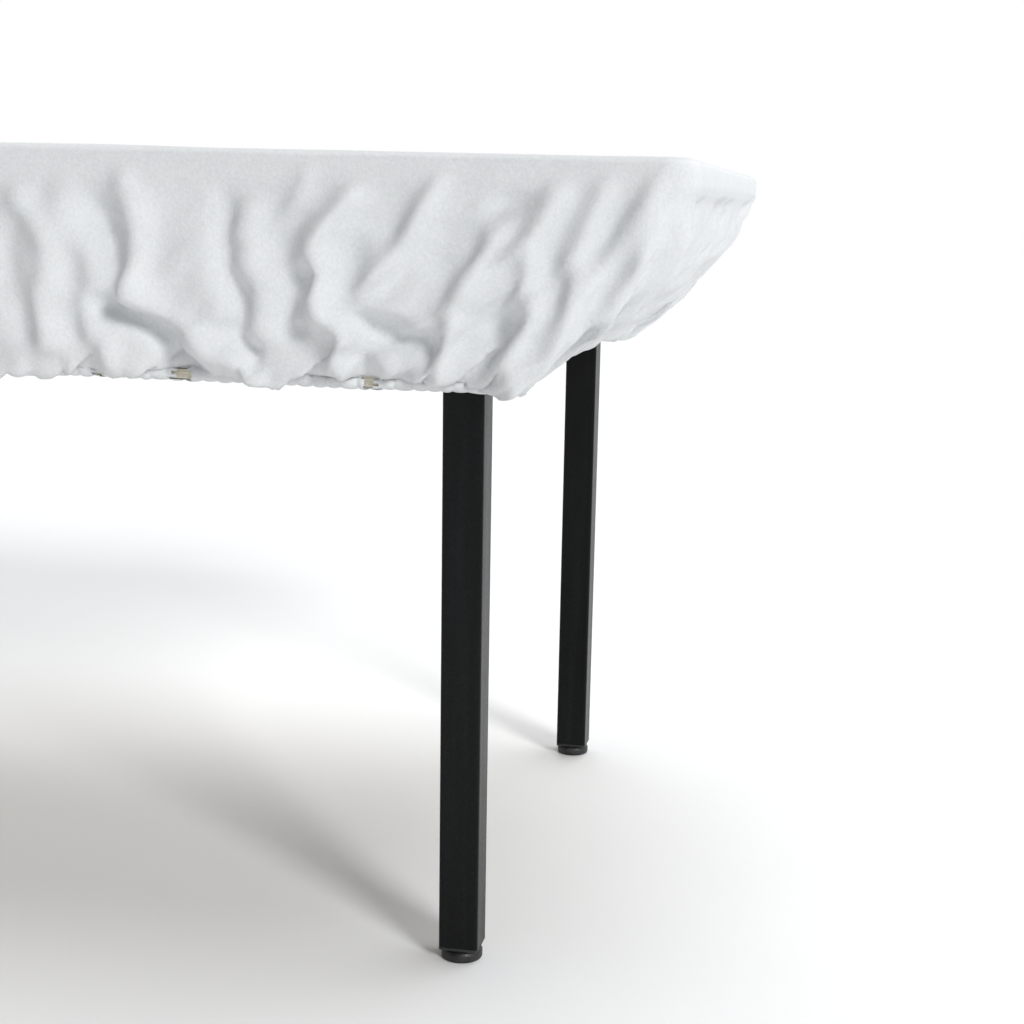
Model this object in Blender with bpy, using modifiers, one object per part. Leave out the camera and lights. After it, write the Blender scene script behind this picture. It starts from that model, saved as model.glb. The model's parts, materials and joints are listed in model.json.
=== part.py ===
"""Table with a fitted, elastic-gathered cloth. Metres, +Z up, floor at z = 0, length along X, front at -Y."""

import math

import bmesh
import bpy
from mathutils import Vector

OBJECT = "table_with_gathered_cloth"
GAP = 0.0003

# Tabletop.
TOP_LENGTH = 1.524
TOP_DEPTH = 0.762
BOARD_THICK = 0.0250
BOARD_TOP_Z = 0.7440
CORNER_R = 0.0250
BAND_THICK = 0.0020
BAND_EDGE_R = 0.0016
SEAT_HOLE_R = 0.0026
SEAT_HOLE_DEPTH = 0.0180

# Steel frame: square legs, rectangular rails, corner plates.
LEG = 0.0380
LEG_WALL = 0.0015
LEG_EDGE_R = 0.0030
LEG_SPAN_X = 1.1640
LEG_SPAN_Y = 0.6680
LEG_BOTTOM_Z = 0.0153
PLATE_SIDE = 0.1000
PLATE_THICK = 0.0030
PLATE_CORNER_R = 0.0060
RAIL_HEIGHT = 0.0300
RAIL_WIDTH = 0.0200
RAIL_EDGE_R = 0.0020
SCREWS = {"a": (0.0600, 0.0600), "b": (0.0870, 0.0560), "c": (0.0560, 0.0870)}
SCREW_R = 0.0023
SCREW_HEAD_R = 0.0048
SCREW_HEAD_H = 0.0028
SCREW_REACH = 0.0170
PLATE_HOLE_R = 0.0029

# Levelling feet.
STUD_R = 0.0040
STUD_CLEARANCE = 0.0001
STUD_TOP_Z = 0.0520
STUD_BOTTOM_Z = 0.0045
PLUG_TOP_Z = 0.0480
PLUG_FLANGE_Z = 0.0116
FOOT_R = 0.0198
FOOT_HEIGHT = 0.0110

# Cloth.
CLOTH = 0.0015
CORNER_STEPS = 6
HEM_TOP_Z = 0.5560
HEM_BOTTOM_Z = 0.5450
CASING_WIDTH = 0.0065
CASING_WALL = 0.0010
CASING_CLEAR = 0.0008
CASING_INNER_R = 0.0040
ELASTIC_WIDTH = 0.0036
ELASTIC_HEIGHT = 0.0080
# How far in the skirt has drawn, as a share of its whole draw, at each share of its drop.
SKIRT = ((0.0, 0.0), (0.17, 0.0), (0.34, 0.07), (0.55, 0.21), (0.74, 0.39), (0.88, 0.57), (0.97, 0.76), (1.0, 1.0))

COLOURS = {
    "cloth": (0.86, 0.88, 0.89),
    "elastic": (0.80, 0.76, 0.66),
    "wood": (0.62, 0.50, 0.36),
    "band": (0.08, 0.08, 0.08),
    "steel_black": (0.02, 0.02, 0.022),
    "zinc": (0.60, 0.61, 0.62),
    "plastic_black": (0.015, 0.015, 0.015),
}
ROUGHNESS = {"cloth": 0.95, "elastic": 0.9, "wood": 0.6, "band": 0.5, "steel_black": 0.35, "zinc": 0.3,
             "plastic_black": 0.5}
SIDES = {"front": -1, "back": 1}
ENDS = {"left": -1, "right": 1}

for old in list(bpy.data.objects):
    bpy.data.objects.remove(old, do_unlink=True)
parts = bpy.data.collections.new(OBJECT)
cutters = bpy.data.collections.new("cutters")
for collection in (parts, cutters):
    bpy.context.scene.collection.children.link(collection)


def material_for(name, look):
    material = bpy.data.materials.new(name)
    material.use_nodes = True
    shader = material.node_tree.nodes["Principled BSDF"]
    shader.inputs["Base Color"].default_value = (*COLOURS[look], 1)
    shader.inputs["Roughness"].default_value = ROUGHNESS[look]
    return material


def add(name, data, look, collection=parts):
    obj = bpy.data.objects.new(name, data)
    collection.objects.link(obj)
    if look:
        data.materials.append(material_for(name, look))
    return obj


def mesh_from(name, bm):
    bmesh.ops.recalc_face_normals(bm, faces=bm.faces)
    mesh = bpy.data.meshes.new(name)
    bm.to_mesh(mesh)
    bm.free()
    return mesh


def rounded_loop(half_x, half_y, radius, z, steps=5):
    """Corner points of a rounded rectangle about the Z axis, anticlockwise."""
    points = []
    for quarter, (sx, sy) in enumerate(((1, 1), (-1, 1), (-1, -1), (1, -1))):
        for step in range(steps + 1):
            turn = math.radians(90 * quarter + 90 * step / steps)
            x = sx * (half_x - radius) + radius * math.cos(turn)
            y = sy * (half_y - radius) + radius * math.sin(turn)
            points.append(Vector((x, y, z)))
    return points


def loft(name, loops, ring=False):
    """Skins a stack of loops. A ring joins the last loop to the first; otherwise both ends are capped."""
    bm = bmesh.new()
    rows = [[bm.verts.new(point) for point in loop] for loop in loops]
    pairs = list(zip(rows, rows[1:]))
    if ring:
        pairs.append((rows[-1], rows[0]))
    else:
        bm.faces.new(rows[0])
        bm.faces.new(rows[-1])
    for low, high in pairs:
        for i in range(len(low)):
            j = (i + 1) % len(low)
            bm.faces.new((low[i], low[j], high[j], high[i]))
    return mesh_from(name, bm)


def extruded(name, outlines, length, look):
    """A flat outline, with any holes in it as further outlines, extruded along Z about its own origin."""
    curve = bpy.data.curves.new(name, "CURVE")
    curve.dimensions = "2D"
    curve.fill_mode = "BOTH"
    curve.extrude = length / 2
    for outline in outlines:
        spline = curve.splines.new("POLY")
        spline.points.add(len(outline) - 1)
        spline.use_cyclic_u = True
        for point, corner in zip(spline.points, outline):
            point.co = (corner[0], corner[1], 0, 1)
    return add(name, curve, look)


def tube(name, half_x, half_y, wall, radius, length, look):
    outer = rounded_loop(half_x, half_y, radius, 0, 3)
    inner = rounded_loop(half_x - wall, half_y - wall, radius - wall * 0.6, 0, 3)
    return extruded(name, (outer, inner), length, look)


def circle(radius, at, segments=12):
    turns = [2 * math.pi * i / segments for i in range(segments)]
    return [(at[0] + radius * math.cos(turn), at[1] + radius * math.sin(turn)) for turn in turns]


def drill(name, radius, z0, z1, at):
    """A round cutter, kept out of the model."""
    bm = bmesh.new()
    bmesh.ops.create_cone(bm, cap_ends=True, segments=12, radius1=radius, radius2=radius, depth=z1 - z0)
    bmesh.ops.translate(bm, verts=bm.verts, vec=(at[0], at[1], (z0 + z1) / 2))
    return add(name, mesh_from(name, bm), None, cutters)


def turned(name, profile, look, at, segments):
    """A solid of revolution about a vertical axis. The profile runs down its outer side, from the axis to the axis."""
    bm = bmesh.new()
    line = [bm.verts.new((radius, 0, z)) for radius, z in profile]
    for pair in zip(line, line[1:]):
        bm.edges.new(pair)
    mesh = bpy.data.meshes.new(name)
    bm.to_mesh(mesh)
    bm.free()
    obj = add(name, mesh, look)
    obj.location = (at[0], at[1], 0)
    screw = obj.modifiers.new("turn", "SCREW")
    screw.steps = segments
    screw.render_steps = segments
    screw.use_merge_vertices = True
    screw.merge_threshold = 0.00001
    screw.use_smooth_shade = True
    return obj


def cut(target, cutter):
    cutter.hide_render = True
    cutter.display_type = "WIRE"
    boolean = target.modifiers.new(cutter.name, "BOOLEAN")
    boolean.operation = "DIFFERENCE"
    boolean.solver = "EXACT"
    boolean.object = cutter


def box_with_round_corners(name, half_x, half_y, radius, z0, z1, look):
    bm = bmesh.new()
    bmesh.ops.create_cube(bm, size=1)
    bmesh.ops.scale(bm, verts=bm.verts, vec=(2 * half_x, 2 * half_y, z1 - z0))
    bmesh.ops.translate(bm, verts=bm.verts, vec=(0, 0, (z0 + z1) / 2))
    upright = [edge for edge in bm.edges if abs(edge.verts[0].co.z - edge.verts[1].co.z) > (z1 - z0) / 2]
    bmesh.ops.bevel(bm, geom=upright, offset=radius, segments=5, profile=0.5, affect="EDGES")
    return add(name, mesh_from(name, bm), look)


def smooth(obj, angle=35):
    """Shades round faces smooth and keeps the hard edges sharp."""
    mesh = obj.data
    mesh.shade_smooth()
    mesh.set_sharp_from_angle(angle=math.radians(angle))


def corners():
    """Each corner as (name, sign in x, sign in y)."""
    for side, sy in SIDES.items():
        for end, sx in ENDS.items():
            yield f"{side}_{end}", sx, sy


def inboard(sx, sy, dx, dy):
    """A point dx and dy in from the outer faces of the leg at this corner."""
    return sx * (LEG_SPAN_X / 2 - dx), sy * (LEG_SPAN_Y / 2 - dy)


def screw_points():
    for corner, sx, sy in corners():
        for tag, (dx, dy) in SCREWS.items():
            yield f"{corner}_{tag}", inboard(sx, sy, dx, dy)


def make_board():
    half_x = TOP_LENGTH / 2 - BAND_THICK - GAP
    half_y = TOP_DEPTH / 2 - BAND_THICK - GAP
    radius = CORNER_R - BAND_THICK - GAP
    z0 = BOARD_TOP_Z - BOARD_THICK
    board = box_with_round_corners("tabletop_board", half_x, half_y, radius, z0, BOARD_TOP_Z, "wood")
    for name, at in screw_points():
        cut(board, drill(f"hole_{name}", SEAT_HOLE_R, z0 - 0.01, z0 + SEAT_HOLE_DEPTH, at))
    loops = []
    bend = 0.29 * BAND_EDGE_R
    top = BOARD_TOP_Z
    for pull, z in ((0, z0), (0, top - BAND_EDGE_R), (bend, top - bend), (BAND_EDGE_R, top)):
        loops.append(rounded_loop(TOP_LENGTH / 2 - pull, TOP_DEPTH / 2 - pull, CORNER_R - pull, z))
    loops += [rounded_loop(half_x + GAP, half_y + GAP, radius + GAP, z) for z in (BOARD_TOP_Z, z0)]
    smooth(add("tabletop_edge_band", loft("tabletop_edge_band", loops, ring=True), "band"))


def plate_top():
    return BOARD_TOP_Z - BOARD_THICK - GAP


def frame_top():
    """The height of the tops of the legs and rails, under the corner plates."""
    return plate_top() - PLATE_THICK - GAP


def make_legs():
    length = frame_top() - LEG_BOTTOM_Z
    for corner, sx, sy in corners():
        leg = tube(f"leg_{corner}", LEG / 2, LEG / 2, LEG_WALL, LEG_EDGE_R, length, "steel_black")
        leg.location = (*inboard(sx, sy, LEG / 2, LEG / 2), LEG_BOTTOM_Z + length / 2)


def rail(name, length, centre, along_x):
    obj = tube(name, RAIL_HEIGHT / 2, RAIL_WIDTH / 2, LEG_WALL, RAIL_EDGE_R, length, "steel_black")
    obj.rotation_euler = (0, math.radians(90), 0 if along_x else math.radians(90))
    obj.location = (*centre, frame_top() - RAIL_HEIGHT / 2)


def make_rails():
    clear_x = LEG_SPAN_X - 2 * LEG - 2 * GAP
    clear_y = LEG_SPAN_Y - 2 * LEG - 2 * GAP
    for side, sy in SIDES.items():
        rail(f"rail_{side}", clear_x, (0, sy * (LEG_SPAN_Y / 2 - LEG / 2)), True)
    for end, sx in ENDS.items():
        rail(f"rail_{end}", clear_y, (sx * (LEG_SPAN_X / 2 - LEG / 2), 0), False)
    between = LEG_SPAN_Y - LEG - RAIL_WIDTH - 2 * GAP
    rail("rail_centre", between, (0, 0), False)


def make_plates():
    for corner, sx, sy in corners():
        centre = inboard(sx, sy, PLATE_SIDE / 2, PLATE_SIDE / 2)
        outlines = [rounded_loop(PLATE_SIDE / 2, PLATE_SIDE / 2, PLATE_CORNER_R, 0, 3)]
        for dx, dy in SCREWS.values():
            x, y = inboard(sx, sy, dx, dy)
            outlines.append(circle(PLATE_HOLE_R, (x - centre[0], y - centre[1])))
        plate = extruded(f"corner_plate_{corner}", outlines, PLATE_THICK, "steel_black")
        plate.location = (*centre, plate_top() - PLATE_THICK / 2)


def make_screws():
    head_top = frame_top()
    for name, at in screw_points():
        tip = plate_top() + SCREW_REACH
        profile = ((0, tip), (SCREW_R, tip - 0.003), (SCREW_R, head_top), (SCREW_HEAD_R, head_top),
                   (SCREW_HEAD_R, head_top - SCREW_HEAD_H * 0.4), (SCREW_HEAD_R * 0.7, head_top - SCREW_HEAD_H),
                   (0, head_top - SCREW_HEAD_H))
        turned(f"screw_{name}", profile, "zinc", at, 12)


def plug_mesh(name):
    """Plug body in the tube with a flange under its mouth, and a bore that is open at both ends."""
    body = LEG / 2 - LEG_WALL - 0.0005
    flange = LEG / 2
    bore = STUD_R + STUD_CLEARANCE
    steps = 5
    rows = [rounded_loop(flange - 0.001, flange - 0.001, LEG_EDGE_R, PLUG_FLANGE_Z, steps),
            rounded_loop(flange, flange, LEG_EDGE_R, PLUG_FLANGE_Z + 0.001, steps),
            rounded_loop(flange, flange, LEG_EDGE_R, LEG_BOTTOM_Z - GAP, steps),
            rounded_loop(body, body, LEG_EDGE_R - LEG_WALL, LEG_BOTTOM_Z - GAP, steps),
            rounded_loop(body, body, LEG_EDGE_R - LEG_WALL, PLUG_TOP_Z, steps)]
    for z in (PLUG_TOP_Z, PLUG_FLANGE_Z):
        ring = []
        for quarter in range(4):
            for step in range(steps + 1):
                turn = math.radians(90 * quarter + 15 * step + 7.5)
                ring.append(Vector((bore * math.cos(turn), bore * math.sin(turn), z)))
        rows.append(ring)
    return loft(name, rows, ring=True)


def make_feet():
    for corner, sx, sy in corners():
        at = inboard(sx, sy, LEG / 2, LEG / 2)
        plug = add(f"leg_plug_{corner}", plug_mesh(f"leg_plug_{corner}"), "plastic_black")
        plug.location = (*at, 0)
        smooth(plug)
        stud = ((0, STUD_TOP_Z), (STUD_R - 0.001, STUD_TOP_Z), (STUD_R, STUD_TOP_Z - 0.001),
                (STUD_R, STUD_BOTTOM_Z), (0, STUD_BOTTOM_Z))
        turned(f"foot_stud_{corner}", stud, "zinc", at, 24)
        seat = STUD_R + STUD_CLEARANCE
        base = ((0, STUD_BOTTOM_Z - GAP), (seat, STUD_BOTTOM_Z - GAP), (seat, FOOT_HEIGHT),
                (FOOT_R - 0.0038, FOOT_HEIGHT), (FOOT_R - 0.0012, 0.0096), (FOOT_R, 0.0072), (FOOT_R, 0.0018),
                (FOOT_R - 0.0004, 0.0006), (FOOT_R - 0.0016, 0), (0, 0))
        turned(f"foot_base_{corner}", base, "plastic_black", at, 48)


def skirt_rows():
    """Outer half sizes, corner radius and height down the skirt, from under the rim to the hem."""
    rim_x = TOP_LENGTH / 2 + GAP + CLOTH
    rim_y = TOP_DEPTH / 2 + GAP + CLOTH
    rim_r = CORNER_R + GAP + CLOTH
    hem_x = LEG_SPAN_X / 2 + CASING_CLEAR + CASING_WIDTH
    hem_y = LEG_SPAN_Y / 2 + CASING_CLEAR + CASING_WIDTH
    hem_r = CASING_INNER_R + CASING_WIDTH
    high = BOARD_TOP_Z
    low = HEM_TOP_Z + GAP
    for drop, draw in SKIRT:
        z = high + (low - high) * drop
        yield (rim_x + (hem_x - rim_x) * draw, rim_y + (hem_y - rim_y) * draw, rim_r + (hem_r - rim_r) * draw, z)


def skirt_loops():
    """Loops down the outer face of the skirt and back up its inner face."""
    outer = list(skirt_rows())
    inner = []
    for i, (half_x, half_y, radius, z) in enumerate(outer):
        before = outer[max(i - 1, 0)]
        after = outer[min(i + 1, len(outer) - 1)]
        run = Vector((after[0] - before[0], after[3] - before[3])).normalized()
        inner.append((half_x + CLOTH * run.y, half_y + CLOTH * min(run.y, -0.8), radius + CLOTH * run.y,
                      z - CLOTH * run.x * (i > 0)))
    return [rounded_loop(*row, CORNER_STEPS) for row in outer + inner[::-1]]


def make_cover():
    """The cover in five lengths that meet at its rim and corners, so that each stays open on the inside."""
    half_x, half_y, radius, _ = next(skirt_rows())
    top = extruded("cloth_top", [rounded_loop(half_x, half_y, radius, 0)], CLOTH, "cloth")
    top.location = (0, 0, BOARD_TOP_Z + GAP + CLOTH / 2)
    loops = skirt_loops()
    middle = CORNER_STEPS // 2
    per_corner = CORNER_STEPS + 1
    for quarter, name in enumerate(("back", "left", "front", "right")):
        first = quarter * per_corner + middle
        stations = []
        for i in range(first, first + per_corner + 1):
            stations.append([loop[i % len(loop)].copy() for loop in loops])
        along = Vector((1, 0, 0)) if name in SIDES else Vector((0, 1, 0))
        for station in (stations[0], stations[-1]):
            for point in station:
                point -= along * math.copysign(GAP, point.dot(along))
        smooth(add(f"cloth_skirt_{name}", loft(f"cloth_skirt_{name}", stations), "cloth"), 40)


def channel_row(offset, z):
    half_x = LEG_SPAN_X / 2 + CASING_CLEAR + offset
    half_y = LEG_SPAN_Y / 2 + CASING_CLEAR + offset
    return rounded_loop(half_x, half_y, CASING_INNER_R + offset, z)


def make_hem():
    wall = CASING_WALL
    section = ((0, HEM_BOTTOM_Z), (CASING_WIDTH, HEM_BOTTOM_Z), (CASING_WIDTH, HEM_TOP_Z),
               (CASING_WIDTH - wall, HEM_TOP_Z), (CASING_WIDTH - wall, HEM_BOTTOM_Z + wall),
               (wall, HEM_BOTTOM_Z + wall), (wall, HEM_TOP_Z), (0, HEM_TOP_Z))
    loops = [channel_row(*point) for point in section]
    smooth(add("hem_casing", loft("hem_casing", loops, ring=True), "cloth"), 40)
    inset = (CASING_WIDTH - ELASTIC_WIDTH) / 2
    low = HEM_BOTTOM_Z + wall + 2 * GAP
    section = ((inset, low), (inset + ELASTIC_WIDTH, low), (inset + ELASTIC_WIDTH, low + ELASTIC_HEIGHT),
               (inset, low + ELASTIC_HEIGHT))
    loops = [channel_row(*point) for point in section]
    smooth(add("elastic_band", loft("elastic_band", loops, ring=True), "elastic"), 40)


make_board()
make_plates()
make_legs()
make_rails()
make_screws()
make_feet()
make_cover()
make_hem()
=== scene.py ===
"""The looks of a rectangular steel-legged table that wears a white fitted cloth with an elastic hem.

One sheet of brushed cotton lies on the top and hangs over its rim. The hem gathers it round the four legs.
"""

import json
import math

import bpy
import numpy as np
from mathutils import Matrix, Vector


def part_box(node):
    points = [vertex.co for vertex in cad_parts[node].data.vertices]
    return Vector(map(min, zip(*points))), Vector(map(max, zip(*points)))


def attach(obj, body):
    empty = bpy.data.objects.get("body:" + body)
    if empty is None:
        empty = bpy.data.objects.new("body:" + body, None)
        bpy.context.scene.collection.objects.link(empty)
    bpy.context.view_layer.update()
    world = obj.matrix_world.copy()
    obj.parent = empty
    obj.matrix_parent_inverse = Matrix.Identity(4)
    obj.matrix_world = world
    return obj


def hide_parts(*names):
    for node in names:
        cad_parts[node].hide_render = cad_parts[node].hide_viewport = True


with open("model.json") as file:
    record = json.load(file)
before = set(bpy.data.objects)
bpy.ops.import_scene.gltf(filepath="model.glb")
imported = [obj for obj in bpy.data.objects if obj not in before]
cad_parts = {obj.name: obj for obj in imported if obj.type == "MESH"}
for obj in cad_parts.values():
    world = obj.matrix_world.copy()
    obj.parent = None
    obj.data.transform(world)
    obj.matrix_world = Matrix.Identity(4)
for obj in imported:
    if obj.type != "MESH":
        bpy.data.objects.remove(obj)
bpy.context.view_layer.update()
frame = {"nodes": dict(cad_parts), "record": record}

# The rim that the cloth bends over, and the loop that its hem is drawn to.
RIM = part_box("tabletop_edge_band")
HALF_X, HALF_Y = RIM[1].x, RIM[1].y
RIM_R = 0.025
BOARD_TOP = RIM[1].z + 0.0005
BOARD_BOTTOM = RIM[0].z
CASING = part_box("hem_casing")
LOOP_X, LOOP_Y = CASING[1].x, CASING[1].y
LOOP_R = 0.0105
HEM_Z = (CASING[0].z + CASING[1].z) / 2
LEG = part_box("leg_front_right")
LEG_X, LEG_Y = (LEG[0].x + LEG[1].x) / 2, -(LEG[0].y + LEG[1].y) / 2
LEG_HALF = (LEG[1].x - LEG[0].x) / 2

# The cut of the sheet: how far it reaches beyond the rim before it is gathered.
MARGIN_SIDE = 0.238
MARGIN_END = 0.276
# The thickness of the cloth.
SHEET = 0.0012

# How far from each leg corner the hem of the rounded corner piece is bunched along the loop.
GATHER_SIDE, GATHER_END = 0.016, 0.150

# How much less the hem of a long side is gathered at its middle than towards the legs.
BUNCHING = 0.20

# Eight stretches go round the sheet, anticlockwise from the right end: four sides, and a corner after each.
RIGHT_END, BACK, LEFT_END, FRONT = SIDES = (0, 2, 4, 6)
CORNER_SIGNS = ((1, 1), (-1, 1), (-1, -1), (1, -1))

# The handles of the curve that the skirt hangs on, for a long side and what an end adds to each: how far the
# first lies below the rim, and how far the second lies out from the hem and above it.
DROP, DROP_END = 0.09, -0.022
STAND_OFF, STAND_OFF_END = 0.05, 0.02
LIFT, LIFT_END = -0.002, 0.036

# How far the cloth may stray from the folds it is drawn into, and sag below the curve it hangs on.
STRAY = 0.009
SAG_SIDE, SAG_END, SAG_AT_RIM = 0.007, 0.003, 0.03
# Where a long side hangs below its hem: side (front -1), middle, half length and depth.
SAGS = (
    (-1, 0.392, 0.055, 0.036),
    (-1, 0.262, 0.022, 0.010),
    (-1, -0.22, 0.06, 0.014),
    (1, 0.15, 0.05, 0.014),
)
# Stretches of the casing that have pulled open and let the elastic show: side, middle along it, length.
OPENINGS = (
    (FRONT, 0.226, 0.013),
    (FRONT, 0.306, 0.022),
    (FRONT, 0.480, 0.017),
    (FRONT, -0.31, 0.016),
    (BACK, 0.12, 0.018),
)

# How far a fold of strength 1 stands out.
FOLD_DEPTH = 0.0108
# How uneven the skirt is between its folds, as a share of each wave's length.
CRUMPLE = 0.007
# How far the small gathers above the hem stand out and droop, and how far an opening draws them in and up.
GATHER_DEPTH, GATHER_DROOP = 0.0085, 0.008
OPEN_IN, OPEN_UP = 0.004, 0.006

# The solver's step in seconds, the share of its speed that a point keeps at each, and the top speed.
STEP, KEPT_SPEED, TOP_SPEED = 0.001, 0.993, 1.0
GRAVITY = 9.8
# How strongly a link resists being pushed together. Near 0, soft cloth gives way in its own plane.
GIVE = 0.02
# How far the cloth's middle stays from the tabletop and from the legs, and how close two layers may come.
SKIN, LEG_SKIN = 0.0036, 0.003
CLOSEST = 0.0065
# How much of what is missing to that distance each point is moved, and how much its moves' mean is raised.
PUSH, PUSH_ON = 0.35, 1.5
# How far inside the casing's face the hem's loop runs, and how far in, out and up or down the hem may stray.
HEM_INSET = 0.001
HEM_IN, HEM_OUT, HEM_UP = 0.001, 0.006, 0.004
# How much of its way back onto the loop, and of its way along it, the hem is moved at each step.
HEM_PULL, HEM_SLIDE = 0.6, 0.12
# The meshes, coarse to fine: distance between points, steps, stiffness in bending, pull to the folds.
PLAN = ((0.017, 300, 0.10, 0.03), (0.009, 260, 0.20, 0.05), (0.0056, 130, 0.16, 0.12))


def smoothstep(x):
    x = np.clip(x, 0, 1)
    return x * x * (3 - 2 * x)


# --- The flat sheet: eight stretches go round it, four straight and four rounded corners. ---


def straight(seg, half_x, half_y):
    """The two ends of a straight stretch, and its outward direction."""
    out = CORNER_SIGNS[seg // 2 - 1], CORNER_SIGNS[seg // 2]
    (ax, ay), (bx, by) = out
    return (ax * half_x, ay * half_y), (bx * half_x, by * half_y), ((ax + bx) / 2, (ay + by) / 2)


def rim_points(seg, frac, inset=0.0):
    """Points at these shares of one stretch, this far inside the rim, and the outward direction at each."""
    radius = max(RIM_R - inset, 0.004)
    cx, cy = HALF_X - inset - radius, HALF_Y - inset - radius
    if seg in SIDES:
        a, b, out = straight(seg, cx, cy)
        points = np.outer(1 - frac, a) + np.outer(frac, b)
        return points + radius * np.array(out), np.tile(np.array(out, float), (len(frac), 1))
    sx, sy = CORNER_SIGNS[seg // 2]
    turn = (seg // 2 + frac) * math.pi / 2
    out = np.stack([np.cos(turn), np.sin(turn)], 1)
    return np.array([sx * cx, sy * cy]) + radius * out, out


def margin(out):
    """How deep the skirt is cut where the rim faces that way."""
    end = out[:, 0] ** 2
    return MARGIN_SIDE * (1 - end) + MARGIN_END * end


def hem_points(seg, frac):
    """Where on the hem's loop each share of one stretch is gathered to."""
    if seg in SIDES:
        at_end = seg in (RIGHT_END, LEFT_END)
        half = (LOOP_X, LOOP_Y - GATHER_END) if at_end else (LOOP_X - GATHER_SIDE, LOOP_Y)
        a, b, _ = straight(seg, *half)
        if seg in (BACK, FRONT):
            place = 2 * frac - 1
            frac = (1 + place * (1 + BUNCHING * (1 - place**2))) / 2
        return np.outer(1 - frac, a) + np.outer(frac, b)
    quarter = seg // 2
    on_end, on_side, arc = GATHER_END - LOOP_R, GATHER_SIDE - LOOP_R, LOOP_R * math.pi / 2
    s = (frac if quarter % 2 == 0 else 1 - frac) * (on_end + arc + on_side)
    turn = np.clip((s - on_end) / LOOP_R, 0, math.pi / 2)
    x = LOOP_X - LOOP_R + LOOP_R * np.cos(turn) - np.maximum(s - on_end - arc, 0)
    y = LOOP_Y - LOOP_R + LOOP_R * np.sin(turn) - np.maximum(on_end - s, 0)
    return np.stack([x, y], 1) * np.array(CORNER_SIGNS[quarter])


def zip_rings(inner, outer, turn):
    """Triangles between two rings, each given as eight (first point, number of points)."""
    triangles = []
    for seg in range(8):
        (a0, na), (b0, nb) = inner[seg], outer[seg]
        a = [a0 + k for k in range(na)] + [inner[(seg + 1) % 8][0]]
        b = [b0 + k for k in range(nb)] + [outer[(seg + 1) % 8][0]]
        i = j = 0
        while i < na or j < nb:
            step = (i + 1) / na - (j + 1) / nb
            if j == nb or (i < na and (step < -1e-9 or (abs(step) < 1e-9 and (i + turn) % 2))):
                triangles.append((a[i], b[j], a[i + 1]))
                i += 1
            else:
                triangles.append((a[i], b[j], b[j + 1]))
                j += 1
    return triangles


def cut_sheet(spacing):
    """The skirt of the sheet as rings of points: share 0 is the rim and share 1 is the hem."""
    count = round((MARGIN_SIDE + MARGIN_END) / 2 / spacing)
    shares = [-0.016, -0.008, *np.linspace(0, 1, count + 1)]
    columns, rings, total = [], [], 0
    for k, share in enumerate(shares):
        ring = []
        for seg in range(8):
            middle = margin(rim_points(seg, np.array([0.5]))[1])[0]
            length = 2 * ((HALF_Y, HALF_X)[seg % 4 // 2] - RIM_R)
            if seg not in SIDES:
                length = (RIM_R + max(share, 0) * middle) * math.pi / 2
            n = max(3, round(length / spacing))
            frac = np.arange(n) / n
            points, out = rim_points(seg, frac)
            reach = share if share < 0 else share * margin(out)
            flat = points + out * np.broadcast_to(reach, n)[:, None]
            columns.append((flat, np.full(n, seg), frac, np.full(n, share), np.full(n, k)))
            ring.append((total, n))
            total += n
        rings.append(ring)
    flat, seg, frac, share, ring_of = (np.concatenate(c) for c in zip(*columns))
    triangles = [t for k in range(len(rings) - 1) for t in zip_rings(rings[k], rings[k + 1], k)]
    return {
        "flat": flat, "seg": seg, "frac": frac, "share": share, "ring": ring_of, "rings": rings,
        "shares": np.array(shares), "triangles": np.array(triangles), "spacing": spacing,
    }


def hang(sheet):
    """Each point on a smooth curve from the rim out, down and in to the hem, and the outward direction."""
    places, outs = np.zeros((len(sheet["flat"]), 3)), np.zeros((len(sheet["flat"]), 3))
    for seg in range(8):
        mine = sheet["seg"] == seg
        rim, out = rim_points(seg, sheet["frac"][mine])
        share = sheet["share"][mine]
        t = np.clip(share, 0, 1)[:, None]
        out = np.column_stack([out, np.zeros(len(out))])
        top = np.column_stack([rim, np.full(len(rim), BOARD_TOP)])
        hem = np.column_stack([hem_points(seg, sheet["frac"][mine]), np.full(len(rim), HEM_Z)])
        end = out[:, :1] ** 2
        below = top - (0, 0, 1) * (DROP + DROP_END * end)
        beside = hem + (STAND_OFF + STAND_OFF_END * end) * out + (0, 0, 1) * (LIFT_END * end + LIFT)
        curve = (1 - t) ** 3 * top + 3 * (1 - t) ** 2 * t * below
        curve = curve + 3 * (1 - t) * t * t * beside + t**3 * hem
        low = smoothstep((t[:, 0] - 0.4) / 0.42) * (1 - smoothstep((t[:, 0] - 0.86) / 0.14))
        for side, middle, half, depth in SAGS:
            here = (out[:, 1] * side > 0.9) * np.exp(-(((curve[:, 0] - middle) / half) ** 4))
            curve[:, 2] -= depth * (low * here)
        on_top = share < 0
        curve[on_top] = top[on_top] + out[on_top] * share[on_top][:, None] + (0, 0, 0.002)
        places[mine], outs[mine] = curve, out
    return places, outs


# --- The folds: lines along which the slack cloth stands out or falls in. ---

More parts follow.
